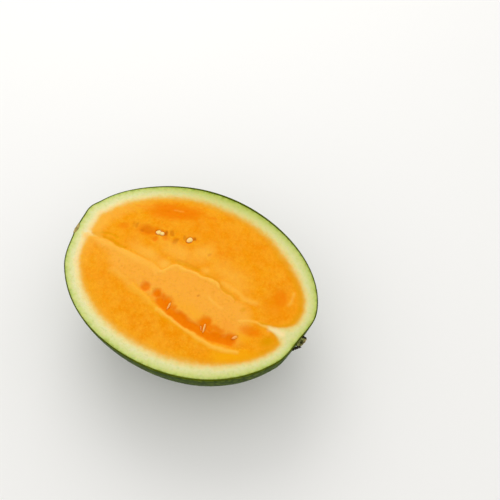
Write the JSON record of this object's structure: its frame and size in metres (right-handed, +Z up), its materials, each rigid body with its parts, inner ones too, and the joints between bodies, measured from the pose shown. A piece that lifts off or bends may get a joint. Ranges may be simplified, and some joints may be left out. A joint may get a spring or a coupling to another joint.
{
  "type": "watermelon half",
  "caption": "Half of an oval watermelon cut lengthwise, lying on its skin with the orange flesh up, pale unripe seeds in the cut and a dried stem stub.",
  "frame": {"origin": "on the surface the half rests on, below the middle of its box", "axes": "+Z up, out of the cut face; +X along the fruit towards the stem end; +Y across the cut face"},
  "size_m": [0.257, 0.1956, 0.0986],
  "materials": {
    "flesh": "moist cut orange watermelon flesh, fading over a few millimetres into pale cream and light green rind",
    "skin": "smooth waxy dark green melon skin with a fine net of darker veins, satin",
    "seed": "soft pale yellow unripe seed, moist",
    "stem": "dried brown stem stub with a shrivelled near-black collar, matte"
  },
  "bodies": {
    "root": {"watermelon_half": "flesh"}
  },
  "joints": []
}
